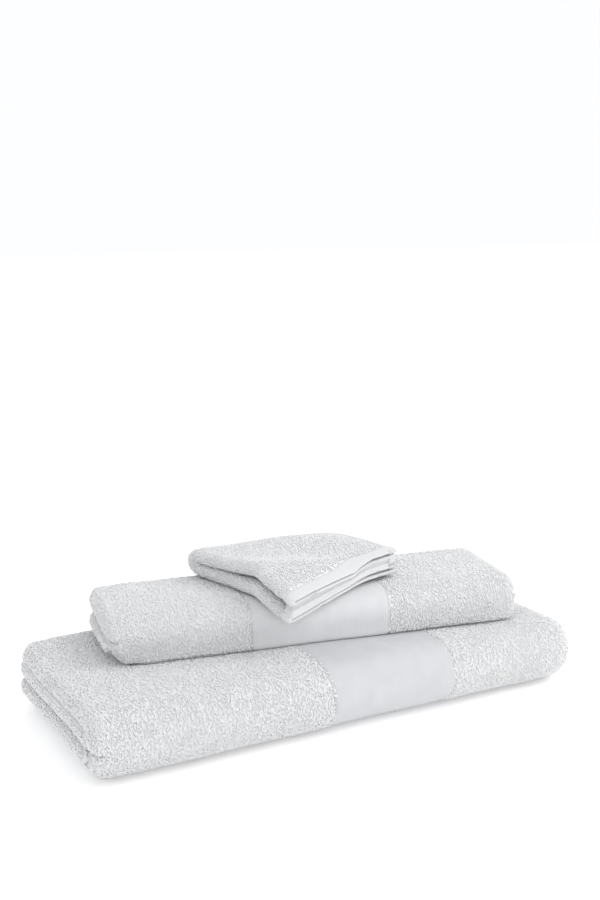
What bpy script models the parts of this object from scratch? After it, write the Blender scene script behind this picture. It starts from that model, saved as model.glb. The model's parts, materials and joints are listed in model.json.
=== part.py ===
"""Bath towel set: a bath towel, a hand towel and a washcloth, folded and stacked.

Metres, +Z up. The origin is on the ground under the middle of the folded bath towel.
+X runs along its length and -Y is its front, where the last fold makes a round edge.

Each towel is folded along its length, then twice across its width. The last fold is the
front edge, so a towel is a lower leaf and an upper leaf that opens like a book. The
washcloth is folded in quarters and opens the same way about its back left edge.
"""

import math

import bmesh
import bpy
from mathutils import Matrix, Vector

# Clearance between pieces that touch: flat or straight ones, and draped ones
GAP = 0.0003
DRAPE_GAP = 0.0009

# Bath towel, folded
BATH_LENGTH = 0.470
BATH_DEPTH = 0.204
BATH_HEIGHT = 0.058
BATH_BAND_START = 0.209
BATH_BAND_WIDTH = 0.122
BATH_BACK_ROUND = 0.016
BATH_LEFT_ROUND = 0.012

# Hand towel, folded, and how it lies on the bath towel
HAND_LENGTH = 0.384
HAND_DEPTH = 0.108
HAND_HEIGHT = 0.0425
HAND_BAND_START = 0.122
HAND_BAND_WIDTH = 0.129
HAND_BACK_ROUND = 0.018
HAND_LEFT_ROUND = 0.009
HAND_ASIDE = (0.012, 0.014)
HAND_TURN = math.radians(-9.2)

# Flat-woven border: how far it lies below the pile, and its own thickness
BAND_RECESS = 0.0010
BAND_THICK = 0.0016

# Turned hems of the towels
HEM_WIDTH = 0.012
HEM_THICK = 0.0050
END_HEM_INSET = 0.004
HEM_ROUND = 0.0012
HEM_SIDE_ROUND = 0.004

# Care label, sewn in at a side hem
LABEL_INSET = 0.045
LABEL_LENGTH = 0.040
LABEL_WIDTH = 0.025
LABEL_THICK = 0.0010

# Washcloth, folded in quarters, and how it lies on the hand towel
WASH_SIDE = 0.136
WASH_THICK = 0.0300
WASH_HEM_WIDTH = 0.010
WASH_HEM_INSET = 0.0025
WASH_EDGE_ROUND = 0.006
WASH_ASIDE = (-0.012, 0.0135)
WASH_TURN = math.radians(25.0)

# How the washcloth drapes over the hand towel: flat between the two bends
BEND_EASE = 0.0025
FRONT_BEND_ANGLE = math.radians(25.0)
BACK_BEND_ANGLE = math.radians(58.0)
BACK_FOOT_EASE = 0.006
WASH_AXIS_DROP = 0.009

# Steps around the rounded edge of a leaf and of a hem, and along a draped side
ROUND_STEPS = 4
HEM_ROUND_STEPS = 2
DRAPE_STEPS = 9

TERRY = {"colour": (0.86, 0.87, 0.88), "roughness": 0.95}
BORDER = {"colour": (0.84, 0.85, 0.87), "roughness": 0.80}
HEM = {"colour": (0.90, 0.90, 0.91), "roughness": 0.85}
LABEL = {"colour": (0.93, 0.93, 0.93), "roughness": 0.55}


def clear_scene():
    for obj in list(bpy.data.objects):
        bpy.data.objects.remove(obj)


def make_collection(name):
    collection = bpy.data.collections.new(name)
    bpy.context.scene.collection.children.link(collection)
    return collection


def make_material(name, finish):
    material = bpy.data.materials.new(name)
    material.use_nodes = True
    shader = material.node_tree.nodes["Principled BSDF"]
    shader.inputs["Base Color"].default_value = (*finish["colour"], 1.0)
    shader.inputs["Roughness"].default_value = finish["roughness"]
    shader.inputs["Metallic"].default_value = 0.0
    return material


def make_empty(name, parent, location, rotation=(0.0, 0.0, 0.0)):
    empty = bpy.data.objects.new(name, None)
    parts.objects.link(empty)
    empty.empty_display_size = 0.03
    empty.parent = parent
    empty.location = location
    empty.rotation_euler = rotation
    return empty


def step_cuts(low, high, round_low, round_high, round_steps, middle_steps):
    """Places along one side of a box where its rounded edges and its middle need a loop."""
    cuts = []
    for step in range(round_steps):
        reach = math.tan(math.pi / 4 * step / round_steps)
        if round_low > 0:
            cuts.append(low + round_low * (1 - reach))
        if round_high > 0:
            cuts.append(high - round_high * (1 - reach))
    start = low + round_low
    length = high - round_high - start
    cuts += [start + length * step / middle_steps for step in range(1, middle_steps)]
    return cuts


def soften(point, low, high, round_low, round_high):
    """Move a point of a square box onto the same box with rounded edges."""
    core = [0.0, 0.0, 0.0]
    reach = [0.0, 0.0, 0.0]
    radii = [0.0, 0.0, 0.0]
    for axis in range(3):
        near = low[axis] + round_low[axis]
        far = high[axis] - round_high[axis]
        core[axis] = min(max(point[axis], near), far)
        radii[axis] = round_low[axis] if point[axis] < core[axis] else round_high[axis]
        if radii[axis] > 0:
            reach[axis] = (point[axis] - core[axis]) / radii[axis]
    reach = Vector(reach)
    if reach.length < 1e-9:
        return Vector(point)
    reach *= max(abs(share) for share in reach) / reach.length
    return Vector([core[axis] + reach[axis] * radii[axis] for axis in range(3)])


def soft_box_mesh(low, high, round_low, round_high, round_steps=ROUND_STEPS, steps=(1, 1, 1),
                  drape=None):
    """A closed box with a rounding of its own on each side, bent by an optional function."""
    mesh_data = bmesh.new()
    bmesh.ops.create_cube(mesh_data, size=1.0)
    size = [high[axis] - low[axis] for axis in range(3)]
    centre = [(high[axis] + low[axis]) / 2 for axis in range(3)]
    bmesh.ops.scale(mesh_data, vec=size, verts=mesh_data.verts)
    bmesh.ops.translate(mesh_data, vec=centre, verts=mesh_data.verts)
    for axis in range(3):
        normal = [0.0, 0.0, 0.0]
        normal[axis] = 1.0
        cuts = step_cuts(low[axis], high[axis], round_low[axis], round_high[axis],
                         round_steps, steps[axis])
        for place in cuts:
            on_plane = [place if index == axis else 0.0 for index in range(3)]
            geometry = mesh_data.verts[:] + mesh_data.edges[:] + mesh_data.faces[:]
            bmesh.ops.bisect_plane(mesh_data, geom=geometry, dist=1e-6,
                                   plane_co=on_plane, plane_no=normal)
    for vertex in mesh_data.verts:
        vertex.co = soften(vertex.co, low, high, round_low, round_high)
        if drape:
            vertex.co = drape(vertex.co)
    bmesh.ops.remove_doubles(mesh_data, verts=mesh_data.verts, dist=1e-6)
    mesh = bpy.data.meshes.new("soft_box")
    mesh_data.to_mesh(mesh)
    mesh_data.free()
    mesh.shade_smooth()
    mesh.set_sharp_from_angle(angle=math.radians(50))
    return mesh


def place(obj, parent, origin):
    """Hang an object modelled in its towel's frame on an empty that stands at origin."""
    obj.parent = parent
    obj.location = -Vector(origin)
    return obj


def add_part(name, mesh, material, parent, origin=(0, 0, 0)):
    obj = bpy.data.objects.new(name, mesh)
    parts.objects.link(obj)
    obj.data.name = name
    obj.data.materials.append(material)
    return place(obj, parent, origin)


def add_cutter(name, mesh, parent, origin=(0, 0, 0)):
    obj = bpy.data.objects.new(name, mesh)
    cutters.objects.link(obj)
    obj.hide_render = True
    obj.display_type = "WIRE"
    return place(obj, parent, origin)


def cut(obj, cutter):
    modifier = obj.modifiers.new("cut " + cutter.name, "BOOLEAN")
    modifier.operation = "DIFFERENCE"
    modifier.solver = "EXACT"
    modifier.object = cutter


def leaf_limits(towel, upper, inset=0.0):
    """Corners and roundings of one leaf of a towel, all but its meeting face moved in by inset."""
    half_length = towel["length"] / 2
    half_depth = towel["depth"] / 2
    half_height = towel["height"] / 2
    back = half_depth - inset if upper else half_depth - HEM_WIDTH - GAP - inset
    outer_round = half_height - GAP / 2 - inset
    low = [-half_length + inset, -half_depth + inset, inset]
    high = [half_length - inset, back, half_height - GAP / 2]
    round_low = [towel["left_round"] - inset, outer_round, outer_round]
    back_round = towel["back_round"] if upper else HEM_SIDE_ROUND
    round_high = [outer_round, back_round - inset, 0.0]
    if upper:
        low[2], high[2] = half_height + GAP / 2, towel["height"] - inset
        round_low[2], round_high[2] = 0.0, outer_round
    return low, high, round_low, round_high


def band_limits(towel, upper, inset, beyond):
    """The leaf's limits over the stretch of its border band, grown by beyond at open sides."""
    low, high, round_low, round_high = leaf_limits(towel, upper, inset)
    low[0] = -towel["length"] / 2 + towel["band_start"] - beyond
    high[0] = low[0] + towel["band_width"] + 2 * beyond
    round_low[0] = 0.0
    round_high[0] = 0.0
    if upper:
        low[2] -= beyond
    else:
        high[2] += beyond
    return low, high, round_low, round_high


def build_band(towel, upper, leaf, parent, origin):
    """A border band set into its leaf: a thin wall that follows the leaf round its edges."""
    side = "upper" if upper else "lower"
    name = towel["name"] + "_border_" + side
    overrun = 0.01
    band = add_part(name, soft_box_mesh(*band_limits(towel, upper, BAND_RECESS, 0.0)),
                    materials["border"], parent, origin)
    under_band = BAND_RECESS + BAND_THICK
    inside = add_cutter(name + "_inside",
                        soft_box_mesh(*band_limits(towel, upper, under_band, overrun)),
                        parent, origin)
    cut(band, inside)

    low, high, _, _ = leaf_limits(towel, upper)
    groove_low = [-towel["length"] / 2 + towel["band_start"] - GAP, low[1] - overrun, low[2] - overrun]
    groove_high = [groove_low[0] + towel["band_width"] + 2 * GAP, high[1] + overrun, high[2] + overrun]
    square = [0.0, 0.0, 0.0]
    groove = add_cutter(name + "_groove",
                        soft_box_mesh(groove_low, groove_high, square, square), parent, origin)
    kept = add_cutter(name + "_kept",
                      soft_box_mesh(*band_limits(towel, upper, under_band + GAP, 2 * overrun)),
                      parent, origin)
    cut(groove, kept)
    cut(leaf, groove)


def recess(leaf, low, high, parent, origin, name):
    """A pocket in a leaf that takes a hem or a label with a gap all round."""
    grown_low = [value - GAP for value in low]
    grown_high = [value + GAP for value in high]
    square = [0.0, 0.0, 0.0]
    pocket = add_cutter(name, soft_box_mesh(grown_low, grown_high, square, square), parent, origin)
    cut(leaf, pocket)


def build_end_hem(towel, upper, leaf, parent, origin):
    """The turned end of the towel, folded into the leaf: its edge shows at the left end."""
    name = towel["name"] + "_end_hem_" + ("upper" if upper else "lower")
    low, high, _, _ = leaf_limits(towel, upper)
    middle = (low[2] + high[2]) / 2
    start = low[0] + END_HEM_INSET
    edge = HEM_ROUND + towel["height"] / 4
    hem_low = [start, low[1] + edge, middle - HEM_THICK / 2]
    hem_high = [start + HEM_WIDTH, high[1] - edge, middle + HEM_THICK / 2]
    rounds = [HEM_ROUND, HEM_ROUND, HEM_ROUND]
    mesh = soft_box_mesh(hem_low, hem_high, rounds, rounds, HEM_ROUND_STEPS)
    add_part(name, mesh, materials["hem"], parent, origin)
    mouth = [low[0] - END_HEM_INSET, hem_low[1], hem_low[2]]
    recess(leaf, mouth, hem_high, parent, origin, name + "_pocket")


def build_label(towel, leaf, parent, origin):
    """The blank care label, caught in the inner side hem and lying flat between the leaves."""
    name = towel["name"] + "_care_label"
    back = leaf_limits(towel, False)[1][1]
    top = towel["height"] / 2 - GAP / 2
    low = [-towel["length"] / 2 + LABEL_INSET, back - LABEL_WIDTH, top - LABEL_THICK]
    high = [low[0] + LABEL_LENGTH, back, top]
    square = [0.0, 0.0, 0.0]
    add_part(name, soft_box_mesh(low, high, square, square), materials["label"], parent, origin)
    recess(leaf, low, high, parent, origin, name + "_pocket")


def build_side_hems(towel, parent, origin):
    """The two hemmed selvedges, one over the other, that end the lower leaf at the back."""
    half_length = towel["length"] / 2
    back = towel["depth"] / 2
    low, high, _, _ = leaf_limits(towel, False)
    foot = low[2] + HEM_THICK / 2
    height = (high[2] - GAP - foot) / 2
    for number, name in enumerate(("outer", "inner")):
        bottom = foot + number * (height + GAP)
        hem_low = [-half_length + towel["left_round"], back - HEM_WIDTH, bottom]
        hem_high = [half_length - towel["height"] / 4, back, bottom + height]
        rounds = [HEM_ROUND * 2, HEM_ROUND * 2, HEM_ROUND * 2]
        mesh = soft_box_mesh(hem_low, hem_high, rounds, rounds, HEM_ROUND_STEPS)
        add_part(towel["name"] + "_side_hem_" + name, mesh, materials["hem"], parent, origin)


def build_towel(towel, stand, hinge, hinge_place):
    """Both leaves of a towel with everything that is woven or sewn to them."""
    for upper in (False, True):
        parent = hinge if upper else stand
        origin = hinge_place if upper else (0, 0, 0)
        name = towel["name"] + ("_upper_leaf" if upper else "_lower_leaf")
        leaf = add_part(name, soft_box_mesh(*leaf_limits(towel, upper)), materials["terry"],
                        parent, origin)
        build_band(towel, upper, leaf, parent, origin)
        build_end_hem(towel, upper, leaf, parent, origin)
        if not upper:
            build_label(towel, leaf, parent, origin)
            build_side_hems(towel, parent, origin)


def towel_sizes(name, length, depth, height, band_start, band_width, back_round, left_round):
    return {"name": name, "length": length, "depth": depth, "height": height,
            "band_start": band_start, "band_width": band_width,
            "back_round": back_round, "left_round": left_round}


def drape_path(along):
    """Place and tilt, over the hand towel's section, of a point that far from its middle."""
    front_radius = HAND_HEIGHT / 2 + BEND_EASE
    back_radius = HAND_BACK_ROUND + BEND_EASE
    foot_radius = WASH_THICK + BACK_FOOT_EASE
    front_start = (HAND_DEPTH - HAND_HEIGHT) / 2
    back_start = HAND_DEPTH / 2 - HAND_BACK_ROUND
    if -front_start <= along <= back_start:
        return along, 0.0, 0.0
    if along < -front_start:
        run = -front_start - along
        tilt = min(run / front_radius, FRONT_BEND_ANGLE)
        rest = run - tilt * front_radius
        out = front_radius * math.sin(tilt) + rest * math.cos(tilt)
        down = front_radius * (1 - math.cos(tilt)) + rest * math.sin(tilt)
        return -front_start - out, -down, -tilt

    arcs_down = (back_radius + foot_radius) * (1 - math.cos(BACK_BEND_ANGLE))
    straight = (HAND_HEIGHT - arcs_down) / math.sin(BACK_BEND_ANGLE)
    run = along - back_start
    first = min(run, back_radius * BACK_BEND_ANGLE)
    second = min(run - first, straight)
    third = min(run - first - second, foot_radius * BACK_BEND_ANGLE)
    last = run - first - second - third
    tilt = first / back_radius
    out = back_radius * math.sin(tilt) + second * math.cos(tilt)
    down = back_radius * (1 - math.cos(tilt)) + second * math.sin(tilt)
    left_tilt = tilt - third / foot_radius
    out += foot_radius * (math.sin(tilt) - math.sin(left_tilt)) + last
    down += foot_radius * (math.cos(left_tilt) - math.cos(tilt))
    return back_start + out, -down, left_tilt


def drape(point):
    """Lay a point of the flat, square washcloth over the hand towel, in that towel's frame."""
    turned = Matrix.Rotation(WASH_TURN, 3, "Z") @ Vector((point[0], point[1], 0.0))
    across = turned.x + WASH_ASIDE[0]
    out, rise, tilt = drape_path(turned.y + WASH_ASIDE[1])
    lift = point[2] + DRAPE_GAP
    return Vector((across, out + lift * math.sin(tilt), rise + lift * math.cos(tilt)))


def wash_piece(name, low, high, round_low, round_high, round_steps, material, parent, origin):
    steps = [max(1, round(DRAPE_STEPS * (high[axis] - low[axis]) / WASH_SIDE)) for axis in range(3)]
    mesh = soft_box_mesh(low, high, round_low, round_high, round_steps, steps, drape)
    add_part(name, mesh, materials[material], parent, origin)


def build_washcloth(stand, hinge, hinge_place):
    """Two leaves, each a folded pair of layers, with hems on their two open sides.

    Before it is draped, the cloth is a square about the origin: -X is the edge with the folds
    of both leaves, +Y is the edge where the leaves join, and the other two edges are open.
    """
    half = WASH_SIDE / 2
    leaf_thick = (WASH_THICK - DRAPE_GAP) / 2
    for upper in (False, True):
        side = "upper" if upper else "lower"
        parent = hinge if upper else stand
        origin = hinge_place if upper else (0, 0, 0)
        base = leaf_thick + DRAPE_GAP if upper else 0.0
        top = base + leaf_thick
        fold = leaf_thick / 2
        edge = WASH_EDGE_ROUND
        inner = WASH_HEM_WIDTH + DRAPE_GAP
        wash_piece("washcloth_" + side + "_leaf", [-half, -half + inner, base], [half - inner, half, top],
                   [fold, 0.0, fold], [0.0, edge, fold], ROUND_STEPS, "terry", parent, origin)
        hem_base = base + WASH_HEM_INSET
        hem_top = top - WASH_HEM_INSET
        rounds = [HEM_ROUND * 2] * 3
        wash_piece("washcloth_front_hem_" + side, [-half + edge, -half, hem_base],
                   [half, -half + WASH_HEM_WIDTH, hem_top], rounds, rounds, HEM_ROUND_STEPS,
                   "hem", parent, origin)
        wash_piece("washcloth_side_hem_" + side, [half - WASH_HEM_WIDTH, -half + inner, hem_base],
                   [half, half - edge, hem_top], rounds, rounds, HEM_ROUND_STEPS,
                   "hem", parent, origin)


clear_scene()
parts = make_collection("bath_towel_set")
cutters = make_collection("cutters")
materials = {"terry": make_material("terry", TERRY), "border": make_material("border", BORDER),
             "hem": make_material("hem", HEM), "label": make_material("label", LABEL)}

bath = towel_sizes("bath_towel", BATH_LENGTH, BATH_DEPTH, BATH_HEIGHT, BATH_BAND_START,
                   BATH_BAND_WIDTH, BATH_BACK_ROUND, BATH_LEFT_ROUND)
hand = towel_sizes("hand_towel", HAND_LENGTH, HAND_DEPTH, HAND_HEIGHT, HAND_BAND_START,
                   HAND_BAND_WIDTH, HAND_BACK_ROUND, HAND_LEFT_ROUND)

bath_hinge_place = Vector((0.0, -BATH_DEPTH / 2, BATH_HEIGHT / 2))
bath_hinge = make_empty("bath_leaf_axis", None, bath_hinge_place)
build_towel(bath, None, bath_hinge, bath_hinge_place)

hand_place = Vector((*HAND_ASIDE, BATH_HEIGHT + GAP))
hand_lift = make_empty("hand_towel_lift", bath_hinge, hand_place - bath_hinge_place, (0, 0, HAND_TURN))
hand_hinge_place = Vector((0.0, -HAND_DEPTH / 2, HAND_HEIGHT / 2))
hand_hinge = make_empty("hand_leaf_axis", hand_lift, hand_hinge_place)
build_towel(hand, hand_lift, hand_hinge, hand_hinge_place)

wash_place = Vector((0.0, 0.0, HAND_HEIGHT))
wash_lift = make_empty("washcloth_lift", hand_hinge, wash_place - hand_hinge_place)
axis_height = WASH_THICK / 2 - WASH_AXIS_DROP
axis_start = drape((-WASH_SIDE / 2, WASH_SIDE / 2, axis_height))
axis_end = drape((WASH_SIDE / 2, WASH_SIDE / 2, axis_height))
wash_hinge = make_empty("washcloth_leaf_axis", wash_lift, axis_start)
build_washcloth(wash_lift, wash_hinge, axis_start)
bpy.context.view_layer.update()
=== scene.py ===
import json
import math

import bpy
import numpy as np
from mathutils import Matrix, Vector


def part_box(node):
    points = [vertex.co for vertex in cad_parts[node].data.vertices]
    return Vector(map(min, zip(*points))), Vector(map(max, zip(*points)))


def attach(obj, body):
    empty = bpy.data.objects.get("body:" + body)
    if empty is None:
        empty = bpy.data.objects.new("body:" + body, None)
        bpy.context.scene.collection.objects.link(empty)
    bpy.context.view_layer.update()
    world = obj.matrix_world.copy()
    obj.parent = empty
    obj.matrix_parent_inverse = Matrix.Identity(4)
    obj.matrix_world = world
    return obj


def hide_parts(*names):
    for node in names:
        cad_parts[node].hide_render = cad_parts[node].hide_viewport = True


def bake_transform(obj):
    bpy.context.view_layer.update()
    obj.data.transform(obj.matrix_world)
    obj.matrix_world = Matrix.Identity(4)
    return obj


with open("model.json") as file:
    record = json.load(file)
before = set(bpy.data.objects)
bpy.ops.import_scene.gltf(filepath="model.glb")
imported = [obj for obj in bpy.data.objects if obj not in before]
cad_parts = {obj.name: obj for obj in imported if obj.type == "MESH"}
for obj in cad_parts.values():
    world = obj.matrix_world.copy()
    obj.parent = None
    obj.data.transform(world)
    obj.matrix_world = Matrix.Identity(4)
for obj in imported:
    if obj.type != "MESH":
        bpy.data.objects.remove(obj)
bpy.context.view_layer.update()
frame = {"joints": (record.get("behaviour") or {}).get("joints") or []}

# Studio: a pale sweep of floor under an even white sky, with a large soft light high on the
# right and a weaker one in front. The camera stands low at the left front corner of the set.
turn, dip = math.radians(28.5), math.radians(11.6)   # to the right of +Y, and downwards
lens = bpy.data.cameras.new("camera")
lens.sensor_fit = "VERTICAL"
lens.sensor_height = 36.0
lens.lens = 48.36
camera = bpy.data.objects.new("camera", lens)
bpy.context.scene.collection.objects.link(camera)
camera.location = (-0.496, -0.907, 0.436)
aim = Vector((math.sin(turn) * math.cos(dip), math.cos(turn) * math.cos(dip), -math.sin(dip)))
camera.rotation_euler = aim.to_track_quat("-Z", "Y").to_euler()
bpy.context.scene.camera = camera
bpy.context.scene.view_settings.view_transform = "Standard"

world = bpy.data.worlds.new("white sky")
world.use_nodes = True
sky = world.node_tree.nodes["Background"].inputs
sky["Color"].default_value = (0.985, 0.99, 1.0, 1.0)
sky["Strength"].default_value = 1.0
bpy.context.scene.world = world


def soft_light(name, place, target, width, power):
    """A square area lamp that faces its target."""
    lamp = bpy.data.lights.new(name, "AREA")
    lamp.size = width
    lamp.energy = power
    light = bpy.data.objects.new(name, lamp)
    bpy.context.scene.collection.objects.link(light)
    light.location = place
    light.rotation_euler = (Vector(target) - Vector(place)).to_track_quat("-Z", "Y").to_euler()


soft_light("key light", (1.15, -0.75, 1.35), (0.1, 0.0, 0.05), 1.3, 12.5)
soft_light("fill light", (-0.5, -1.5, 0.9), (0.0, 0.0, 0.05), 1.4, 1.2)
soft_light("back light", (0.4, 1.7, 1.3), (0.0, 0.0, 0.05), 1.2, 3.0)

sweep = bpy.data.meshes.new("floor")
reach = 9
sweep.from_pydata([(-reach, -reach, 0), (reach, -reach, 0), (reach, reach, 0), (-reach, reach, 0)],
                  [], [(0, 1, 2, 3)])
floor = bpy.data.objects.new("floor", sweep)
bpy.context.scene.collection.objects.link(floor)
paint = bpy.data.materials.new("studio floor")
paint.use_nodes = True
floor_shader = paint.node_tree.nodes["Principled BSDF"].inputs
floor_shader["Base Color"].default_value = (0.95, 0.95, 0.95, 1)
floor_shader["Roughness"].default_value = 0.9
floor_shader["Emission Color"].default_value = (1, 1, 1, 1)
floor_shader["Emission Strength"].default_value = 0.20
sweep.materials.append(paint)


# Bath towel cloth: one 76 x 142 cm piece of white cotton terry. Its length is folded in thirds,
# then its width in half twice, and the last fold makes the round front edge. It holds together
# by its own weight alone.
class Wire:
    """A value in a material's nodes. Arithmetic on it adds Math nodes."""

    def __init__(self, tree, socket=None):
        self.tree = tree
        self.socket = socket

    def node(self, kind, settings=None, values=None, output=0):
        """Any other node: its type, its settings, and the values or links of its sockets."""
        made = self.tree.nodes.new("ShaderNode" + kind)
        for name, value in (settings or {}).items():
            setattr(made, name, value)
        for name, value in (values or {}).items():
            if isinstance(value, Wire):
                self.tree.links.new(value.socket, made.inputs[name])
            else:
                made.inputs[name].default_value = value
        return Wire(self.tree, made.outputs[output])

    def do(self, operation, first, second):
        return self.node("Math", {"operation": operation}, {0: first, 1: second})

    def __add__(self, other):
        return self.do("ADD", self, other)

    __radd__ = __add__

    def __sub__(self, other):
        return self.do("SUBTRACT", self, other)

    def __rsub__(self, other):
        return self.do("SUBTRACT", other, self)

    def __mul__(self, other):
        return self.do("MULTIPLY", self, other)

    __rmul__ = __mul__


def new_finish(name, roughness, sheen):
    """A material with its shader, and a wire to build its colour and bump from."""
    material = bpy.data.materials.new(name)
    material.use_nodes = True
    shader = material.node_tree.nodes["Principled BSDF"]
    shader.inputs["Roughness"].default_value = roughness
    shader.inputs["Specular IOR Level"].default_value = 0.2
    shader.inputs["Sheen Weight"].default_value = sheen
    shader.inputs["Sheen Roughness"].default_value = 0.6
    return material, shader, Wire(material.node_tree)


def dress(shader, wire, shade, dark, light, height, depth, grain):
    """Colour between dark and light by shade, and a bump of that depth, in metres, from height."""
    colour = wire.node("Mix", {"data_type": "RGBA"}, {0: shade, 6: (*dark, 1), 7: (*light, 1)}, 2)
    bump = wire.node("Bump", {}, {"Strength": grain, "Distance": depth, "Height": height})
    wire.tree.links.new(colour.socket, shader.inputs["Base Color"])
    wire.tree.links.new(bump.socket, shader.inputs["Normal"])


def terry_finish(name, dark, light, depth):
    """Looped cotton: loops about a millimetre across, and a slow drift of shade over the cloth."""
    material, shader, wire = new_finish(name, 0.95, 0.25)
    place = wire.node("TexCoord", output="Object")
    loops = wire.node("TexNoise", {}, {"Vector": place, "Scale": 620.0, "Detail": 3.0,
                                       "Roughness": 0.65, "Distortion": 0.8})
    cells = wire.node("TexVoronoi", {}, {"Vector": place, "Scale": 520.0})
    drift = wire.node("TexNoise", {}, {"Vector": place, "Scale": 42.0, "Detail": 2.0})
    height = loops * 0.7 + cells * 0.5
    shade = loops * 0.9 + drift * 0.7 - 0.3
    dress(shader, wire, shade, dark, light, height, depth, 0.9)
    return material


terry_ground = terry_finish("terry ground", (0.75, 0.752, 0.758), (0.82, 0.822, 0.826), 0.0004)
terry_loops = terry_finish("terry loops", (0.775, 0.777, 0.783), (0.875, 0.876, 0.88), 0.0002)


def walk(start, heading, legs, gone):
    """Places and headings at distances gone along a path of straight and turning legs.

    Each leg is its length and the angle it turns through, and starts where the last one ends.
    """
    point = np.array(start, float)
    across = np.zeros(gone.shape)
    up = np.zeros(gone.shape)
    angle = np.full(gone.shape, heading, float)
    passed = 0.0
    for number, (length, bend) in enumerate(legs):
        here = gone >= passed if number else np.full(gone.shape, True)
        run = gone[here] - passed
        if bend:
            rate = bend / length
            facing = heading + rate * run
            across[here] = point[0] + (np.sin(facing) - math.sin(heading)) / rate
            up[here] = point[1] - (np.cos(facing) - math.cos(heading)) / rate
            ahead = heading + bend
            point += ((math.sin(ahead) - math.sin(heading)) / rate,
                      -(math.cos(ahead) - math.cos(heading)) / rate)
        else:
            facing = np.full(run.shape, heading)
            across[here] = point[0] + run * math.cos(heading)
            up[here] = point[1] + run * math.sin(heading)
            ahead = heading
            point += (length * math.cos(heading), length * math.sin(heading))
        angle[here] = facing
        heading = ahead
        passed += length
    return across, up, angle


def fade(value, start, end):
    """A smooth step from 0 at start to 1 at end."""
    share = np.clip((value - start) / (end - start), 0.0, 1.0)
    return share * share * (3 - 2 * share)


def across_fold(cloth, y, z):
    """How far a point lies from the middle of the folded towel, towards its outside."""
    half = cloth["height"] / 2
    ahead = np.minimum(y - (half - cloth["depth"] / 2), 0.0)
    return np.sqrt(ahead ** 2 + (z - half) ** 2)


def settle(cloth, x, y, z):
    """Rounds the ends of the folded stack and gives it the slight unevenness of soft cloth."""
    half_length, half = cloth["length"] / 2, cloth["height"] / 2
    front, back = -cloth["depth"] / 2, cloth["depth"] / 2
    out = across_fold(cloth, y, z)
    steepest = 0.98     # how near a rounding comes to standing upright

    # The folds at the left are drawn out level with each other.
    drawn, drawn_zone = 0.62, 0.022
    inside = np.maximum(x + half_length, 0.0)
    x = np.minimum(x, x - drawn * inside * (1 - fade(inside, 0.0, drawn_zone)))
    near_left = fade(-x, half_length - 0.035, half_length - 0.006)

    # At the left, the middle layers of each leaf are pinched together and the outer ones puff up.
    pinch, slot = 0.06, 2 * cloth["layer"] / half
    within = np.abs(out - half / 2) / (half / 2)
    opened = np.where(within < slot, within * pinch,
                      1 - (1 - within) * (1 - pinch * slot) / (1 - slot))
    moved = np.sign(out - half / 2) * opened * half / 2 + half / 2
    ratio = 1 + near_left * (moved / np.maximum(out, 1e-6) - 1)
    turn_line = front + half
    z = half + (z - half) * ratio
    y = np.where(y < turn_line, turn_line + (y - turn_line) * ratio, y)

    # Both leaves are rounded at the left, with a groove between them.
    corner = cloth["left_round"]
    corner = corner + (cloth["low_round"] - corner) * fade(half - z, 0.0, 0.7 * half)
    over = np.clip(out - (half - corner), 0.0, corner * steepest)
    groove = 0.008
    under = np.clip(groove - np.abs(z - half), 0.0, groove * steepest)
    x = x + near_left * (corner - np.sqrt(corner ** 2 - over ** 2)
                         + groove - np.sqrt(groove ** 2 - under ** 2))

    # The folds at the right make one blunt round end, and the back left corner is round too.
    roundness = 0.74
    near_right = fade(x, half_length - 0.07, half_length - 0.004)
    over = np.clip(out, 0.0, half * 0.97)
    x = x - near_right * (half - np.sqrt(half ** 2 - over ** 2)) * roundness
    corner = cloth["back_corner"]
    over = np.clip(y - back + corner, 0.0, corner * steepest)
    x = x + near_left * (corner - np.sqrt(corner ** 2 - over ** 2))

    # The front is tucked in or pushed out below its middle.
    tuck = cloth["tuck"] * np.clip((half - z) / half, 0.0, 1.0) ** cloth["tuck_power"]
    y = y + tuck * fade(y, front + half + 0.01, front + 0.01)

    # Slow waves run over the sides, the ends and the top.
    wave, phase = cloth["wave"], cloth["phase"]
    side = wave * np.sin(34 * x + 9 * z + phase) * np.cos(21 * x - 40 * z)
    y = y + side * fade(out, 0.3 * half, half)
    x = x + wave * np.sin(31 * y + 50 * z + 2 * phase) * fade(np.abs(x), 0.1, half_length)
    rise = np.clip((z - half) / half, 0.0, 1.0) ** 2
    swell = np.sin(23 * x + 2.1 * phase) * np.cos(38 * y + 12 * x + phase)
    return x, y, z + wave * 0.7 * rise * swell


def folded(cloth, u, v, off):
    """Places points of the flat cloth, off its middle by off, in the folded stack, in metres."""
    u, v = np.broadcast_arrays(u, v)
    x, stack, facing = walk(*cloth["along"], u)
    x = x - off * np.sin(facing)
    stack = stack + off * np.cos(facing) - cloth["stack"] / 2
    y, z, facing = walk(*cloth["around"], v)
    y = y - stack * np.sin(facing)
    z = z + stack * np.cos(facing)
    return np.stack(cloth["place"](cloth, x, y, z), axis=-1)


def stations(legs, spacings):
    """Distances along a path, spaced for each leg."""
    found = [0.0]
    for (length, _), spacing in zip(legs, spacings):
        count = max(1, round(length / spacing))
        found += [found[-1] + length / count * (number + 1) for number in range(count)]
    return np.array(found)


def new_piece(name, points, faces, material):
    """A smooth mesh object at the origin, in one material."""
    mesh = bpy.data.meshes.new(name)
    mesh.from_pydata(points, [], faces)
    mesh.materials.append(material)
    mesh.shade_smooth()
    piece = bpy.data.objects.new(name, mesh)
    bpy.context.scene.collection.objects.link(piece)
    return piece


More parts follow.
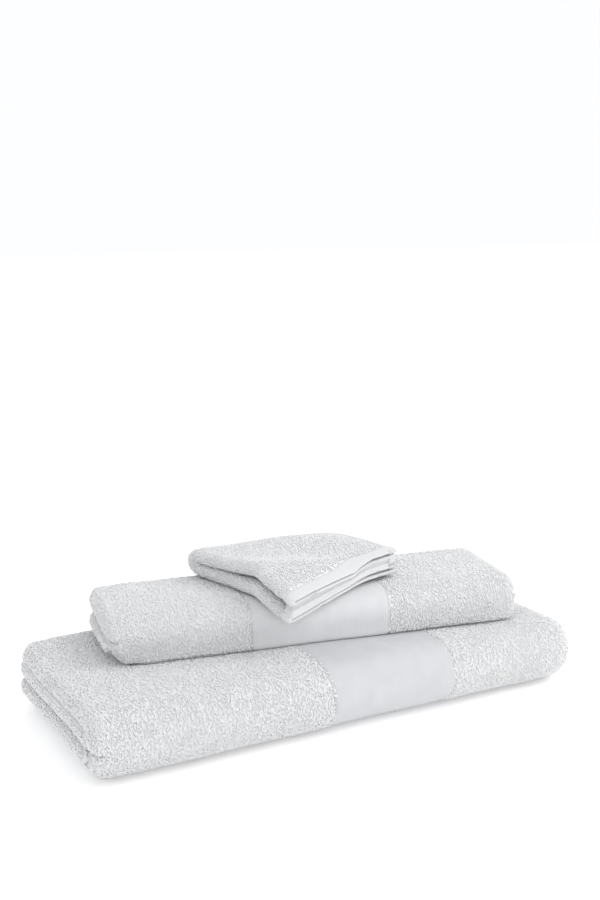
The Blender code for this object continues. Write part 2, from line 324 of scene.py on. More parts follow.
def grid_faces(rows, columns, first=0, flip=False):
    """The four-sided faces of a grid of points, numbered from first."""
    row, column = np.meshgrid(np.arange(rows - 1), np.arange(columns - 1), indexing="ij")
    corner = (first + row * columns + column).ravel()
    faces = np.stack([corner, corner + columns, corner + columns + 1, corner + 1], axis=1)
    return faces[:, ::-1] if flip else faces


def closed_faces(rows, columns):
    """The faces of two grids of points, one over the other, and of the rim that joins them."""
    total = rows * columns
    index = np.arange(total).reshape(rows, columns)
    ring = np.concatenate([index[0, :], index[1:, -1], index[-1, -2::-1], index[-2:0:-1, 0]])
    following = np.roll(ring, -1)
    rim = np.stack([ring, following, following + total, ring + total], axis=1)
    return np.concatenate([grid_faces(rows, columns), grid_faces(rows, columns, total, True), rim])


def cloth_piece(name, cloth, u, v, low, high, material):
    """A closed strip of the folded cloth between two distances off its middle."""
    rows, columns = len(u), len(v)
    outer = folded(cloth, u[:, None], v[None, :], high).reshape(-1, 3)
    inner = folded(cloth, u[:, None], v[None, :], low).reshape(-1, 3)
    piece = new_piece(name, np.concatenate([outer, inner]).tolist(),
                      closed_faces(rows, columns).tolist(), material)
    lay = piece.data.attributes.new("lay", "FLOAT_VECTOR", "POINT")
    flat = np.zeros((rows, columns, 3))
    flat[..., 0], flat[..., 1] = u[:, None], v[None, :]
    flat = flat.reshape(-1, 3)
    lay.data.foreach_set("vector", np.concatenate([flat, flat]).ravel())
    return piece


def around_width(depth, stack):
    """The width's folds, seen from the end: from the lower selvedge to the inner one."""
    front = 2 * stack - depth / 2
    low_run = depth / 2 - front
    high_run = depth / 2 - stack - front
    legs = [(low_run, 0), (1.5 * math.pi * stack, -math.pi), (high_run, 0),
            (0.5 * math.pi * stack, -math.pi), (high_run, 0),
            (0.5 * math.pi * stack, math.pi), (low_run, 0)]
    return (depth / 2, stack / 2), math.pi, legs


def bend_at(piece):
    """Bakes the piece's place into its mesh. The piece is left whole and attached to neither leaf.
    """
    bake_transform(piece)


ground_half = 0.0015    # half the thickness of the woven ground
hem_wide = 0.012
free_end = 0.010        # how far the inner end stops short of the fold
leaf_low, leaf_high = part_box("bath_towel_lower_leaf")
upper_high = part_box("bath_towel_upper_leaf")[1]
bath = {"length": leaf_high.x - leaf_low.x, "depth": 2 * upper_high.y, "height": upper_high.z,
        "stack": upper_high.z / 4, "layer": upper_high.z / 12,
        "left_round": 0.012, "low_round": 0.023, "back_corner": 0.024,
        "tuck": 0.0035, "tuck_power": 2, "wave": 0.0011, "phase": 0.7,
        "place": settle, "main_leg": 2}     # that leg lies outside and shows the border
bath_layer = bath["layer"]
bath_left = bath_layer - bath["length"] / 2
bath_right = bath["length"] / 2 - 1.5 * bath_layer
bath_start = bath_right - 0.001
bath["along"] = ((bath_start, 1.5 * bath_layer), math.pi,
                 [(bath_start - bath_left, 0), (0.5 * math.pi * bath_layer, -math.pi),
                  (bath_right - bath_left, 0), (math.pi * bath_layer, -math.pi),
                  (bath_right - bath_left - free_end, 0)])
bath["around"] = around_width(bath["depth"], bath["stack"])
bath_u = stations(bath["along"][2], (0.016, 0.0016, 0.0045, 0.002, 0.016))
bath_v = stations(bath["around"][2], (0.008, 0.0035, 0.0045, 0.003, 0.008, 0.003, 0.008))
bath_cloth = cloth_piece("bath_towel_cloth", bath, bath_u, bath_v, -ground_half, ground_half,
                         terry_ground)
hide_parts("bath_towel_lower_leaf", "bath_towel_upper_leaf")
bath_front = Vector((0, -bath["depth"] / 2, bath["height"] / 2))
bend_at(bath_cloth)


# Bath towel pile: the loops of cotton that stand on the terry ground, each a small soft arch.
# They are woven in with it, lean every way, and leave the flat border free.
def loop_shape():
    """One loop: a three-sided arch whose two ends sink into the ground."""
    points = [(-0.5, 0.0, -0.12)]
    for along, thick in ((-0.2, 0.20), (0.2, 0.20)):
        for side in range(3):
            angle = math.pi / 2 + side * math.tau / 3
            points.append((along, thick * math.cos(angle), 0.15 + 0.8 * thick * math.sin(angle)))
    points.append((0.5, 0.0, -0.12))
    faces = []
    for side in range(3):
        ahead = (side + 1) % 3
        faces += [(0, 1 + ahead, 1 + side), (1 + side, 1 + ahead, 4 + ahead),
                  (1 + side, 4 + ahead, 4 + side), (4 + side, 4 + ahead, 7)]
    return points, faces


def group_inputs(tree, inputs):
    """Named inputs of a node group; returns each one's identifier."""
    tree.interface.new_socket("Geometry", in_out="INPUT", socket_type="NodeSocketGeometry")
    found = {}
    for name, kind in inputs.items():
        socket = tree.interface.new_socket(name, in_out="INPUT", socket_type="NodeSocket" + kind)
        found[name] = socket.identifier
    tree.interface.new_socket("Geometry", in_out="OUTPUT", socket_type="NodeSocketGeometry")
    return found


def add_node(tree, kind, values=None, **settings):
    node = tree.nodes.new(kind)
    for name, value in settings.items():
        setattr(node, name, value)
    for name, value in (values or {}).items():
        if isinstance(value, bpy.types.NodeSocket):
            tree.links.new(value, node.inputs[name])
        else:
            node.inputs[name].default_value = value
    return node


def pile_tree():
    """Scatters loops over a surface, as dense as its "pile" attribute says."""
    tree = bpy.data.node_groups.new("loop pile", "GeometryNodeTree")
    names = group_inputs(tree, {"Loop": "Object", "Length": "Float", "Lean": "Float",
                                "Seed": "Int", "Finish": "Material"})
    given = tree.nodes.new("NodeGroupInput").outputs
    density = add_node(tree, "GeometryNodeInputNamedAttribute", {"Name": "pile"})
    spread = add_node(tree, "GeometryNodeDistributePointsOnFaces",
                      {"Mesh": given["Geometry"], "Density": density.outputs[0],
                       "Seed": given["Seed"]})
    loop = add_node(tree, "GeometryNodeObjectInfo", {"Object": given["Loop"]})
    lean = add_node(tree, "ShaderNodeMath", {0: given["Lean"], 1: -1.0}, operation="MULTIPLY")
    run = add_node(tree, "GeometryNodeInputNamedAttribute", {"Name": "run"},
                   data_type="FLOAT_VECTOR")
    upright = add_node(tree, "FunctionNodeAlignRotationToVector",
                       {"Rotation": spread.outputs["Rotation"], "Vector": run.outputs[0]},
                       axis="X", pivot_axis="Z")
    low = add_node(tree, "ShaderNodeCombineXYZ",
                   {"X": lean.outputs[0], "Y": lean.outputs[0], "Z": -0.75})
    high = add_node(tree, "ShaderNodeCombineXYZ",
                    {"X": given["Lean"], "Y": given["Lean"], "Z": 0.75})
    sway = add_node(tree, "FunctionNodeRandomValue",
                    {0: low.outputs[0], 1: high.outputs[0], "Seed": 3}, data_type="FLOAT_VECTOR")
    grow = add_node(tree, "FunctionNodeRandomValue", {2: 0.75, 3: 1.3, "Seed": 4},
                    data_type="FLOAT")
    size = add_node(tree, "ShaderNodeMath", {0: grow.outputs[1], 1: given["Length"]},
                    operation="MULTIPLY")
    stand = add_node(tree, "GeometryNodeInstanceOnPoints",
                     {"Points": spread.outputs["Points"], "Instance": loop.outputs["Geometry"],
                      "Rotation": upright.outputs[0], "Scale": size.outputs[0]})
    leaning = add_node(tree, "GeometryNodeRotateInstances",
                       {"Instances": stand.outputs[0], "Rotation": sway.outputs[0]})
    plain = add_node(tree, "GeometryNodeRealizeInstances", {"Geometry": leaning.outputs[0]})
    finish = add_node(tree, "GeometryNodeSetMaterial",
                      {"Geometry": plain.outputs[0], "Material": given["Finish"]})
    result = tree.nodes.new("NodeGroupOutput")
    tree.links.new(finish.outputs[0], result.inputs[0])
    return tree, names


def scratch_object(name, points, faces):
    """A small mesh for a node group to copy. It is removed at the end."""
    mesh = bpy.data.meshes.new(name)
    mesh.from_pydata(points, [], faces)
    scratch = bpy.data.objects.new(name, mesh)
    bpy.context.scene.collection.objects.link(scratch)
    return scratch


loop_object = scratch_object("loop", *loop_shape())
pile_group, pile_inputs = pile_tree()
loops_in_piece = 15500
loop_length = 0.0036
loop_lean = 0.55        # radians, at most


def grown(source, name, tree, names, values):
    """Runs a node group on a scratch object and keeps the result as a plain piece."""
    modifier = source.modifiers.new("grow", "NODES")
    modifier.node_group = tree
    for key, value in values.items():
        modifier[names[key]] = value
    bpy.context.view_layer.update()
    ready = source.evaluated_get(bpy.context.evaluated_depsgraph_get())
    mesh = bpy.data.meshes.new_from_object(ready)
    mesh.shade_smooth()
    source.modifiers.remove(modifier)
    piece = bpy.data.objects.new(name, mesh)
    bpy.context.scene.collection.objects.link(piece)
    return piece


def pile(name, cloth, u, v, density, body, seed, length=loop_length):
    """Loops over part of a cloth's outer face, in as many pieces as their number needs.
    """
    points = folded(cloth, u[:, None], v[None, :], ground_half)
    dense = density(u[:, None], v[None, :], points)
    cells = grid_faces(len(u), len(v))
    flat = points.reshape(-1, 3)
    corners = flat[cells]
    area = np.linalg.norm(np.cross(corners[:, 2] - corners[:, 0], corners[:, 3] - corners[:, 1]),
                          axis=1) / 2
    many = np.cumsum(area * dense.ravel()[cells].mean(axis=1))
    groups = max(1, math.ceil(many[-1] / loops_in_piece))
    for number in range(groups):
        chosen = (many > many[-1] * number / groups) & (many <= many[-1] * (number + 1) / groups)
        ground = new_piece("ground", flat.tolist(), cells[chosen].tolist(), terry_loops)
        field = ground.data.attributes.new("pile", "FLOAT", "POINT")
        field.data.foreach_set("value", dense.ravel().astype(np.float32))
        field = ground.data.attributes.new("run", "FLOAT_VECTOR", "POINT")
        field.data.foreach_set("vector", np.gradient(points, axis=1).ravel().astype(np.float32))
        piece = grown(ground, "%s_%d" % (name, number + 1), pile_group, pile_inputs,
                      {"Loop": loop_object, "Length": length, "Lean": loop_lean,
                       "Seed": seed + number, "Finish": terry_loops})
        bpy.data.objects.remove(ground)
        if isinstance(body, str):
            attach(piece, body)
        else:
            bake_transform(piece)


def leg_ends(legs):
    """The distances at which a path's legs start and end."""
    return np.concatenate([[0.0], np.cumsum([length for length, _ in legs])])


def between(values, low, high):
    """The values from low to high, with both ends."""
    slack = 1e-9
    return values[(values >= low - slack) & (values <= high + slack)]


def skin_stations(values, low, high):
    """The stations between two distances, with those two added."""
    return np.unique(np.concatenate([[low], between(values, low, high), [high]]))


def towel_density(cloth, u, v):
    """Loops a square metre: full on the outside and both ends, thin between the leaves."""
    u_ends, v_ends = leg_ends(cloth["along"][2]), leg_ends(cloth["around"][2])
    main = cloth["main_leg"]
    under_front, past_back, end_zone = 0.014, 0.004, 0.010
    outside = (v > v_ends[1] - under_front) & (v < v_ends[4] + past_back)
    ends = (u < u_ends[main] + end_zone) | (u > u_ends[main + 1] - end_zone)
    return np.where(outside | ends, full_pile, inner_pile)


full_pile = 480000.0
inner_pile = 110000.0
border_margin = 0.0012
bath_band = (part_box("bath_towel_border_upper")[0].x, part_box("bath_towel_border_upper")[1].x)
bath_u_ends, bath_v_ends = leg_ends(bath["along"][2]), leg_ends(bath["around"][2])
bath_turn = (bath_v_ends[1] + bath_v_ends[2]) / 2
hand_aside, hand_slant = (0.012, 0.014), math.radians(-9.2)
hand_cover = (0.178, 0.036)     # half the length and depth of bath towel that it hides
top_zone, hidden_share = 0.008, 0.35


def bath_density(u, v, points):
    """None on the border, and thinner pile where the hand towel lies on the bath towel."""
    x = points[..., 0]
    main = (u > bath_u_ends[2]) & (u < bath_u_ends[3])
    bare = main & (x > bath_band[0] - border_margin) & (x < bath_band[1] + border_margin)
    dense = np.where(bare, 0.0, towel_density(bath, u, v))
    x, y = x - hand_aside[0], points[..., 1] - hand_aside[1]
    along = x * math.cos(hand_slant) + y * math.sin(hand_slant)
    over = y * math.cos(hand_slant) - x * math.sin(hand_slant)
    on_top = points[..., 2] > bath["height"] - top_zone
    hidden = (np.abs(along) < hand_cover[0]) & (np.abs(over) < hand_cover[1]) & on_top
    return dense * np.where(hidden, hidden_share, 1.0)


bath_skin = between(bath_u, bath_u_ends[1] + 0.0015, bath_u_ends[4] - 0.002)
pile("bath_towel_pile_lower", bath, bath_skin, skin_stations(bath_v, hem_wide, bath_turn),
     bath_density, "bath_base", 11)
pile("bath_towel_pile_upper", bath, bath_skin,
     skin_stations(bath_v, bath_turn, bath_v_ends[5] + 0.011), bath_density, "bath_leaf", 31)
pile("bath_towel_pile_inner", bath, bath_skin,
     skin_stations(bath_v, bath_v_ends[5] + 0.0125, bath_v_ends[7] - hem_wide), bath_density,
     "bath_base", 51)


# Bath towel border: a band of flat, finely ribbed cotton across the whole towel, woven in one
# with it and lower than the pile. It follows the towel round its folds.
def border_finish(name, dark, light):
    """Flat weave: fine ribs along the band, and painted shade in the groove along its edges, where
    they are drawn down.
    """
    material, shader, wire = new_finish(name, 0.72, 0.12)
    lay = wire.node("Attribute", {"attribute_name": "lay"}, output="Vector")
    ribs = wire.node("TexWave", {"bands_direction": "X"},
                     {"Vector": lay, "Scale": 190.0, "Distortion": 0.6, "Detail": 2.0})
    picks = wire.node("TexWave", {"bands_direction": "Y"},
                      {"Vector": lay, "Scale": 420.0, "Distortion": 0.8, "Detail": 1.0})
    drift = wire.node("TexNoise", {}, {"Vector": lay, "Scale": 60.0, "Detail": 3.0})
    edge = wire.node("Attribute", {"attribute_name": "edge"}, output="Fac")
    height = ribs * 0.6 + picks * 0.4 - edge * 1.5
    # The edge attribute darkens the colour here: painted shade in the groove beside the pile.
    shade = ribs * 0.25 + drift * 0.7 + picks * 0.15 - edge
    dress(shader, wire, shade, dark, light, height, 0.00025, 0.5)
    return material


bath_border_cloth = border_finish("bath towel border", (0.50, 0.503, 0.522), (0.625, 0.628, 0.638))


def border(name, cloth, u_start, v, band, material, nodes):
    """A thin woven strip just proud of the ground, across the whole width of the cloth.

    Its two edges are drawn down by the first row of loops beside them.
    """
    lip = np.array([0.0, 0.0004, 0.0012])
    u = u_start + np.concatenate([band[0] + lip, np.linspace(band[0] + 0.003, band[1] - 0.003, 38),
                                  band[1] - lip[::-1]])
    sunk = np.zeros(len(u))
    sunk[[0, 1, 2, -3, -2, -1]] = (0.5, 1.0, 0.6, 0.6, 1.0, 0.5)
    proud, sink = 0.0007, 0.0006
    top = (ground_half + proud - sink * sunk)[:, None]
    piece = cloth_piece(name, cloth, u, v, ground_half - 0.0003, top, material)
    # The edge attribute marks the drawn-down edges, both for the bump and for their painted shade.
    field = piece.data.attributes.new("edge", "FLOAT", "POINT")
    field.data.foreach_set("value", np.tile(np.repeat(sunk, len(v)), 2).astype(np.float32))
    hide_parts(*nodes)
    bend_at(piece)


border("bath_towel_border", bath, bath_u_ends[2] - bath_left, bath_v, bath_band,
       bath_border_cloth,
       ("bath_towel_border_lower", "bath_towel_border_upper"))


# Bath towel hems: the four edges of the cloth, turned over twice and stitched in white cotton.
# The end hems lie inside the folded leaves, and the side hems end the lower leaf at the back.
def hem_finish():
    """Plain close cotton tape, a little brighter than the border."""
    material, shader, wire = new_finish("turned hem", 0.8, 0.15)
    lay = wire.node("Attribute", {"attribute_name": "lay"}, output="Vector")
    threads = wire.node("TexWave", {"bands_direction": "DIAGONAL"},
                        {"Vector": lay, "Scale": 260.0, "Distortion": 1.2, "Detail": 2.0})
    drift = wire.node("TexNoise", {}, {"Vector": lay, "Scale": 90.0, "Detail": 3.0})
    shade = threads * 0.3 + drift * 0.7
    dress(shader, wire, shade, (0.60, 0.603, 0.61), (0.69, 0.692, 0.697),
          threads * 0.5 + drift * 0.5, 0.0003, 0.6)
    return material


hem_cloth = hem_finish()
hem_across = np.array([0.0, 0.04, 0.13, 0.3, 0.5, 0.7, 0.87, 0.96, 1.0])    # shares of its width
hem_half, end_hem_half = 0.0021, 0.0018     # half their thickness


def hem(name, cloth, u, v, body, nodes=(), half=hem_half):
    """A rounded strip along one edge of the cloth; the short side of its grid is its width."""
    across = hem_across * 2 - 1
    swell = half * np.maximum(np.sqrt(1 - np.abs(across) ** 5), 0.3)
    thick = swell[:, None] if len(u) == len(hem_across) else swell[None, :]
    piece = cloth_piece(name, cloth, u, v, -thick, thick, hem_cloth)
    if nodes:
        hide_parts(*nodes)
    if body:
        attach(piece, body)
    return piece


def stitch_tree():
    """Stitches of thread, end to end, along a line."""
    tree = bpy.data.node_groups.new("stitch row", "GeometryNodeTree")
    names = group_inputs(tree, {"Stitch": "Object", "Spacing": "Float", "Length": "Float",
                                "Finish": "Material"})
    given = tree.nodes.new("NodeGroupInput").outputs
    line = add_node(tree, "GeometryNodeMeshToCurve", {"Mesh": given["Geometry"]})
    even = add_node(tree, "GeometryNodeResampleCurve",
                    {"Curve": line.outputs[0], "Length": given["Spacing"]}, mode="LENGTH")
    ahead = tree.nodes.new("GeometryNodeInputTangent")
    turned = add_node(tree, "FunctionNodeAlignRotationToVector", {"Vector": ahead.outputs[0]},
                      axis="X")
    stitch = add_node(tree, "GeometryNodeObjectInfo", {"Object": given["Stitch"]})
    laid = add_node(tree, "GeometryNodeInstanceOnPoints",
                    {"Points": even.outputs[0], "Instance": stitch.outputs["Geometry"],
                     "Rotation": turned.outputs[0], "Scale": given["Length"]})
    plain = add_node(tree, "GeometryNodeRealizeInstances", {"Geometry": laid.outputs[0]})
    finish = add_node(tree, "GeometryNodeSetMaterial",
                      {"Geometry": plain.outputs[0], "Material": given["Finish"]})
    result = tree.nodes.new("NodeGroupOutput")
    tree.links.new(finish.outputs[0], result.inputs[0])
    return tree, names


def stitch_shape():
    """One stitch: a short four-sided thread with pointed ends."""
    thick = 0.13
    points = [(-0.5, 0.0, 0.0)]
    points += [(along, thick * math.cos(side * math.pi / 2), thick * math.sin(side * math.pi / 2))
               for along in (-0.3, 0.3) for side in range(4)]
    points += [(0.5, 0.0, 0.0)]
    faces = []
    for side in range(4):
        ahead = (side + 1) % 4
        faces += [(0, 1 + ahead, 1 + side), (1 + side, 1 + ahead, 5 + ahead, 5 + side),
                  (5 + side, 5 + ahead, 9)]
    return points, faces


stitch_object = scratch_object("stitch", *stitch_shape())
stitch_group, stitch_inputs = stitch_tree()
stitch_spacing, stitch_length = 0.0029, 0.0025
seam_share = 0.85       # how far across a towel's hem its seam lies


def stitches(name, cloth, u, v, off, body):
    """A row of stitches along a line of the cloth."""
    points = folded(cloth, np.atleast_1d(u)[:, None], np.atleast_1d(v)[None, :], off)
    points = points.reshape(-1, 3)
    row = bpy.data.meshes.new("row")
    row.from_pydata(points.tolist(), [(i, i + 1) for i in range(len(points) - 1)], [])
    source = bpy.data.objects.new("row", row)
    bpy.context.scene.collection.objects.link(source)
    piece = grown(source, name, stitch_group, stitch_inputs,
                  {"Stitch": stitch_object, "Spacing": stitch_spacing, "Length": stitch_length,
                   "Finish": hem_cloth})
    bpy.data.objects.remove(source)
    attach(piece, body)


def towel_hems(name, cloth, u, v, base, end_at, nodes):
    """End hems, side hems, and the row of stitches on the inner side hem."""
    u_ends, v_ends = leg_ends(cloth["along"][2]), leg_ends(cloth["around"][2])
    last = {"start": hem_across * hem_wide, "end": u_ends[-1] - hem_wide * (1 - hem_across)}
    for place in ("start", "end"):
        piece = hem(name + "_end_hem_" + place, cloth, last[place], v, None,
                    nodes if place == end_at else (), end_hem_half)
        bend_at(piece)
    hem(name + "_selvedge_outer", cloth, u, hem_across * hem_wide, base,
                    (name + "_side_hem_outer",))
    hem(name + "_selvedge_inner", cloth, u, v_ends[-1] - hem_wide * (1 - hem_across),
                    base, (name + "_side_hem_inner",))
    main = cloth["main_leg"]
    run = between(u, u_ends[main] + 0.004, u_ends[main + 1] - 0.004)
    stitches(name + "_stitches", cloth, run, v_ends[-1] - hem_wide * seam_share,
             hem_half - 0.0003, base)


towel_hems("bath_towel", bath, bath_u, bath_v, "bath_base", "end",
           ("bath_towel_end_hem_lower", "bath_towel_end_hem_upper"))


# Bath towel label: a blank satin ribbon, 40 mm wide, caught in the inner side hem and lying on
# the lower leaf, 25 mm out. Its two sides are woven edges, and its end is cut with heat.
def label_finish():
    """Satin ribbon: fine threads with a soft gloss."""
    material, shader, wire = new_finish("satin label", 0.45, 0.1)
    place = wire.node("TexCoord", output="Object")
    threads = wire.node("TexWave", {"bands_direction": "X"},
                        {"Vector": place, "Scale": 600.0, "Distortion": 0.5})
    drift = wire.node("TexNoise", {}, {"Vector": place, "Scale": 120.0})
    dress(shader, wire, threads * 0.3 + drift * 0.6, (0.80, 0.80, 0.80), (0.88, 0.88, 0.885),
          threads, 0.0001, 0.5)
    return material


label_cloth = label_finish()
label_inset, label_wide, label_out = 0.045, 0.040, 0.025


def label(name, cloth, base, frame_place):
    """A thin ribbon with slightly thicker woven edges, a touch wavy."""
    x = np.linspace(label_inset, label_inset + label_wide, 21) - cloth["length"] / 2
    y = cloth["depth"] / 2 - hem_wide + np.linspace(-label_out, 0.0, 13)
    x_grid, y_grid = np.meshgrid(x, y, indexing="ij")
    below, ripple, woven_edge = 0.00065, 0.00012, 0.0022
    edge = np.minimum(x_grid - x[0], x[-1] - x_grid)
    level = cloth["height"] / 2 - below + ripple * np.sin(260 * x_grid) * np.sin(150 * y_grid)
    half_thick = np.where(edge < woven_edge, 0.0003, 0.0002)
    sides = [np.stack(frame_place(x_grid, y_grid, level + way * half_thick), axis=-1).reshape(-1, 3)
             for way in (1, -1)]
    piece = new_piece(name, np.concatenate(sides).tolist(), closed_faces(*x_grid.shape).tolist(),
                      label_cloth)
    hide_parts(name.replace("ribbon", "care_label"))
    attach(piece, base)


label("bath_towel_ribbon", bath, "bath_base", lambda x, y, z: (x, y, z))


# Hand towel: the same terry, cut 41 x 76 cm. Its length is folded in half with the free end
# turned in at the left, and its width in half twice. It lies loose and askew on the bath towel.
def hand_frame(x, y, z):
    """From the hand towel's own axes to where it lies."""
    clearance = 0.0003
    return (x * math.cos(hand_slant) - y * math.sin(hand_slant) + hand_aside[0],
            x * math.sin(hand_slant) + y * math.cos(hand_slant) + hand_aside[1],
            z + bath["height"] + clearance)


def settle_hand(cloth, x, y, z):
    """Settles the hand towel, which presses a little into the pile it lies on."""
    x, y, z = settle(cloth, x, y, z)
    pressed = 0.0015
    return hand_frame(x, y, z - pressed * np.clip(1 - z / cloth["height"], 0.0, 1.0) ** 2)


hand_height = 0.0425
hand = {"length": 0.384, "depth": 0.108, "height": hand_height,
        "stack": hand_height / 4, "layer": hand_height / 8,
        "left_round": 0.009, "low_round": 0.019, "back_corner": 0.012,
        "tuck": -0.015, "tuck_power": 3, "wave": 0.0010, "phase": 2.1,
        "place": settle_hand, "main_leg": 2}
hand_layer = hand["layer"]
hand_left = hand_layer - hand["length"] / 2
hand_right = hand["length"] / 2 - hand_layer
turned_in = 0.011       # the free end folded under at the left
hand["along"] = ((hand_left + turned_in, hand_layer / 2), math.pi,
                 [(turned_in, 0), (0.5 * math.pi * hand_layer, -math.pi),
                  (hand_right - hand_left, 0), (0.5 * math.pi * hand_layer, -math.pi),
                  (hand_right - hand_left - turned_in - 0.003, 0)])
hand["around"] = around_width(hand["depth"], hand["stack"])
hand_u = stations(hand["along"][2], (0.003, 0.0014, 0.0035, 0.0014, 0.016))
hand_v = stations(hand["around"][2], (0.006, 0.0025, 0.0035, 0.002, 0.006, 0.002, 0.006))
hand_cloth = cloth_piece("hand_towel_cloth", hand, hand_u, hand_v, -ground_half, ground_half,
                         terry_ground)
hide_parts("hand_towel_lower_leaf", "hand_towel_upper_leaf")
hand_front = Vector(hand_frame(0.0, -hand["depth"] / 2, hand["height"] / 2))
bend_at(hand_cloth)

hand_band = (-0.070, 0.059)     # along the towel, from its middle
hand_u_ends, hand_v_ends = leg_ends(hand["along"][2]), leg_ends(hand["around"][2])


def hand_density(u, v, points):
    """None on the border, which is found along the cloth, since the towel lies askew."""
    x = u - hand_u_ends[2] + hand_left
    beside = (x < hand_band[0] - border_margin) | (x > hand_band[1] + border_margin)
    return towel_density(hand, u, v) * (beside | (u > hand_u_ends[3]))


hand_skin = between(hand_u, hand_u_ends[1] + 0.0015, hand_u_ends[4] - 0.002)
hand_turn = (hand_v_ends[1] + hand_v_ends[2]) / 2
pile("hand_towel_pile_lower", hand, hand_skin, skin_stations(hand_v, hem_wide, hand_turn),
     hand_density, "hand_base", 71)
pile("hand_towel_pile_upper", hand, hand_skin,
     skin_stations(hand_v, hand_turn, hand_v_ends[5] + 0.008), hand_density, "hand_leaf", 81)
pile("hand_towel_pile_inner", hand, hand_skin,
     skin_stations(hand_v, hand_v_ends[5] + 0.009, hand_v_ends[7] - hem_wide), hand_density,
     "hand_base", 91)
# A lighter copy of the border colours: painted light, because this band stands upright and gets
# less light than the bath towel's band.
hand_border_painted_lighter = border_finish("hand towel border painted lighter", (0.57, 0.573, 0.59), (0.705, 0.708, 0.717))
border("hand_towel_border", hand, hand_u_ends[2] - hand_left, hand_v, hand_band,
       hand_border_painted_lighter,
       ("hand_towel_border_lower", "hand_towel_border_upper"))
towel_hems("hand_towel", hand, hand_u, hand_v, "hand_base", "start",
           ("hand_towel_end_hem_lower", "hand_towel_end_hem_upper"))
label("hand_towel_ribbon", hand, "hand_base", hand_frame)


# Washcloth: the same terry, 27 cm square with a hem on all four sides, folded in quarters and
# laid loosely over the hand towel, so that its front and back corners hang down.
wash = {"side": 0.136, "stack": 0.0145, "layer": 0.0050, "gap": 0.0007}
wash_aside, wash_slant = (-0.012, 0.0135), math.radians(25.0)
hand_back_round, bend_ease, foot_ease = 0.018, 0.0025, 0.006
front_radius, back_radius = hand["height"] / 2 + bend_ease, hand_back_round + bend_ease
front_bend, back_bend = math.radians(25.0), math.radians(58.0)
foot_radius = 2 * wash["stack"] + foot_ease
arcs_down = (back_radius + foot_radius) * (1 - math.cos(back_bend))
front_start = (hand["depth"] - hand["height"]) / 2
back_start = hand["depth"] / 2 - hand_back_round
run_out = 0.2           # longer than any cloth that hangs
front_path = ((-front_start, 0.0), math.pi,
              [(front_radius * front_bend, front_bend), (run_out, 0)])
back_path = ((back_start, 0.0), 0.0,
             [(back_radius * back_bend, -back_bend),
              ((hand["height"] - arcs_down) / math.sin(back_bend), 0),
              (foot_radius * back_bend, back_bend), (run_out, 0)])


def lay_over(cloth, x, y, z):
    """Presses the open edges of each leaf together, then lays the cloth over the hand towel."""
    half, stack = cloth["side"] / 2, cloth["stack"]
    edge_zone, closing = 0.018, 0.45
    middle = np.where(z > stack, 1.5 * stack, 0.5 * stack)
    at_edge = np.maximum(fade(-y, half - edge_zone, half), fade(x, half - edge_zone, half))
    z = middle + (z - middle) * (1 - closing * at_edge)

    # It is thinner at the left, the upper leaf's front corner lifts, and it is slightly uneven.
    upper = z > stack
    left_share, gain, corner_lift = 0.89, 0.12, 0.0070
    z = z * (left_share + gain * fade(x + 0.5 * y, -0.03, 0.06))
    z = z + upper * corner_lift * fade(-(x + y) / (2 * half), 0.12, 1.0)
    rise_wave, side_wave = 0.0010, 0.0012
    lift = rise_wave * np.sin(52 * x + 1.1) * np.sin(47 * y + 0.4) * np.clip(z / (2 * stack), 0, 1)
    x = x + side_wave * np.sin(40 * y + 60 * z)
    y = y + side_wave * np.sin(44 * x + 30 * z + 1.0)

    # Then it follows the hand towel's top, and bends down at the front and the back.
    over = x * math.cos(wash_slant) - y * math.sin(wash_slant) + wash_aside[0]
    along = x * math.sin(wash_slant) + y * math.cos(wash_slant) + wash_aside[1]
    out, rise, tilt = along.copy(), np.zeros(along.shape), np.zeros(along.shape)
    front, back = along < -front_start, along > back_start
    out[front], rise[front], facing = walk(*front_path, -front_start - along[front])
    tilt[front] = facing - math.pi
    out[back], rise[back], tilt[back] = walk(*back_path, along[back] - back_start)
    above = z + lift + cloth["gap"]
    return hand_frame(over, out - above * np.sin(tilt),
                      rise + above * np.cos(tilt) + hand["height"])


wash["place"] = lay_over
wash_half, wash_stack, wash_layer = wash["side"] / 2, wash["stack"], wash["layer"]
wash_fold = wash_half - wash_stack / 2
wash["along"] = ((wash_half, wash_layer / 2), math.pi,
                 [(wash_half + wash_fold, 0),
                  (math.pi * (wash_stack - wash_layer) / 2, -math.pi), (wash_half + wash_fold, 0)])
wash["around"] = ((-wash_half, 1.5 * wash_stack), 0.0,
                  [(wash["side"] - wash_stack, 0), (0.5 * math.pi * wash_stack, -math.pi),
                   (wash["side"] - wash_stack, 0)])
wash_u = stations(wash["along"][2], (0.004, 0.0014, 0.0025))
wash_v = stations(wash["around"][2], (0.0025, 0.0015, 0.0025))
wash_u_ends, wash_v_ends = leg_ends(wash["along"][2]), leg_ends(wash["around"][2])
wash_hem, wash_hem_half, wash_seam_share = 0.010, 0.0033, 0.84
wash_loop = 0.0032
wash_pile, wash_inner_pile, past_fold = full_pile * 0.95, full_pile * 0.6, 0.012
join_edge = 0.002       # how far the leaves reach round the fold between them
wash_upper_v = skin_stations(wash_v, 0.0, wash_v_ends[1] + join_edge)
wash_join_v = skin_stations(wash_v, wash_v_ends[1] + join_edge, wash_v_ends[2] - join_edge)
wash_lower_v = skin_stations(wash_v, wash_v_ends[2] - join_edge, wash_v_ends[3])


def wash_density(u, v, points):
    """Nearly full pile outside and round the folds, none on the hems."""
    dense = np.where(u > wash_u_ends[1] - past_fold, wash_pile, wash_inner_pile)
    hemmed = (v < wash_hem) | (v > wash_v_ends[3] - wash_hem) | (u > wash_u_ends[3] - wash_hem)
    return dense * ~hemmed


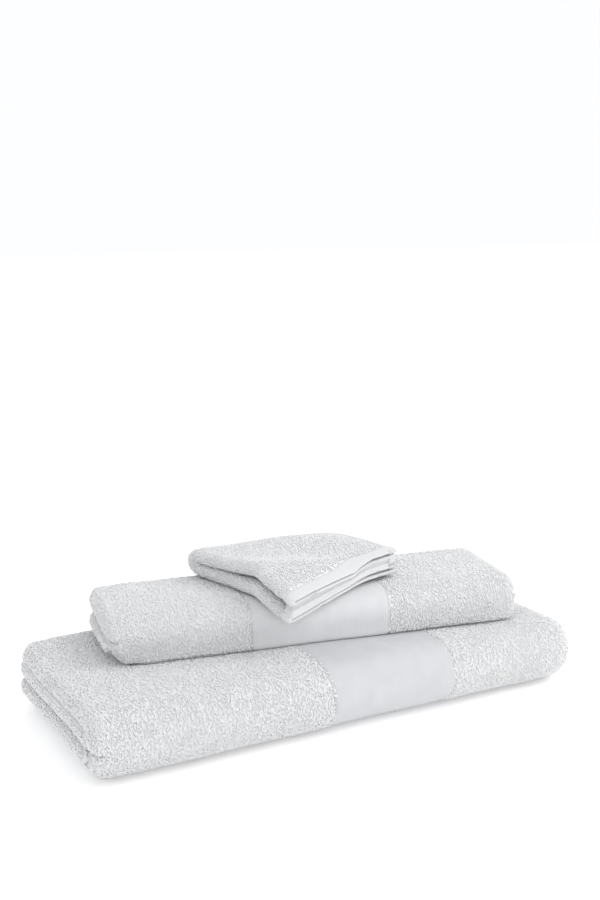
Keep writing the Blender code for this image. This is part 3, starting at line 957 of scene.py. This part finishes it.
wash_skin = between(wash_u, wash_hem, wash_u_ends[3] - wash_hem + 0.003)
for leaf, body, strip, seed in (("lower", "wash_base", wash_lower_v, 111),
                                ("upper", "wash_leaf", wash_upper_v, 121)):
    piece = cloth_piece("washcloth_" + leaf + "_cloth", wash, wash_u, strip, -ground_half,
                        ground_half, terry_ground)
    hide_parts("washcloth_" + leaf + "_leaf")
    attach(piece, body)
    pile("washcloth_pile_" + leaf, wash, wash_skin, strip, wash_density, body, seed, wash_loop)
    front_edge = hem_across * wash_hem
    seam = wash_hem * wash_seam_share
    if leaf == "lower":
        front_edge, seam = wash_v_ends[3] - front_edge[::-1], wash_v_ends[3] - seam
    hems = [hem("washcloth_front_edge_" + leaf, wash, wash_u, front_edge, body,
                ("washcloth_front_hem_" + leaf,), wash_hem_half),
            hem("washcloth_side_edge_" + leaf, wash, wash_u_ends[3] - wash_hem * (1 - hem_across),
                strip, body, ("washcloth_side_hem_" + leaf,), wash_hem_half),
            hem("washcloth_side_edge_inner_" + leaf, wash, hem_across * wash_hem, strip, body,
                (), wash_hem_half)]
    stitches("washcloth_front_stitches_" + leaf, wash,
             between(wash_u, wash_u_ends[1], wash_u_ends[3] - 0.002), seam,
             wash_hem_half - 0.0003, body)
    stitches("washcloth_side_stitches_" + leaf, wash,
             wash_u_ends[3] - wash_hem * wash_seam_share, strip, wash_hem_half - 0.0003, body)

# The strip round the back fold joins the two leaves. It is attached to neither leaf, and the points
# either side of the joint's axis are worked out but not used.
unfold = next(joint for joint in frame["joints"] if joint["name"] == "washcloth_unfold")
wash_pivot, wash_axis = Vector(unfold["pos_m"]), Vector(unfold["axis"])
bend_half = 0.006
off_axis = (Vector((0, 0, 1)) - wash_axis * wash_axis.z).normalized() * bend_half
join = cloth_piece("washcloth_join", wash, wash_u, wash_join_v, -ground_half, ground_half,
                   terry_ground)
crossing = ("wash_base", "wash_leaf", wash_pivot - off_axis, wash_pivot + off_axis)
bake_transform(join)
pile("washcloth_pile_join", wash, wash_skin, wash_join_v, wash_density, crossing, 131, wash_loop)

for scratch in (loop_object, stitch_object):
    bpy.data.objects.remove(scratch)
